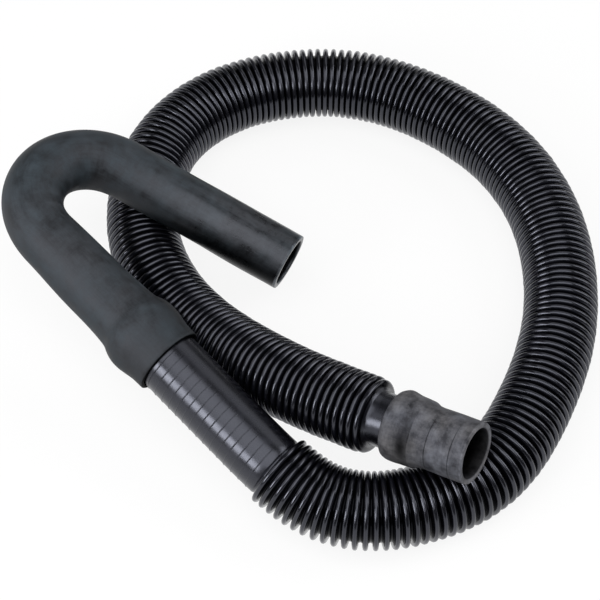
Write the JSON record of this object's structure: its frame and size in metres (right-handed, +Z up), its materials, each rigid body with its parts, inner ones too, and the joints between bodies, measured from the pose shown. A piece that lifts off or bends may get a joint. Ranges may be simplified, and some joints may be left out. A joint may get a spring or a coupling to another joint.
{
  "type": "washing machine drain hose",
  "caption": "Ridged drain hose in a loose loop, with a moulded rubber hook at one end and a short rubber connector at the other.",
  "frame": {"origin": "on the floor, under the middle of the hose's bounding box as it lies", "axes": "+Z up from the floor, +Y away from the viewer towards the far side of the loop, +X to the right"},
  "size_m": [0.2851, 0.3003, 0.0794],
  "materials": {
    "hose_plastic": "glossy black blow-moulded plastic",
    "hook_rubber": "matte dark blue-grey moulded rubber",
    "connector_rubber": "matte grey-black moulded rubber"
  },
  "bodies": {
    "root": {"corrugated_hose": "hose_plastic", "outlet_hook": "hook_rubber", "pump_connector": "connector_rubber"}
  },
  "joints": []
}
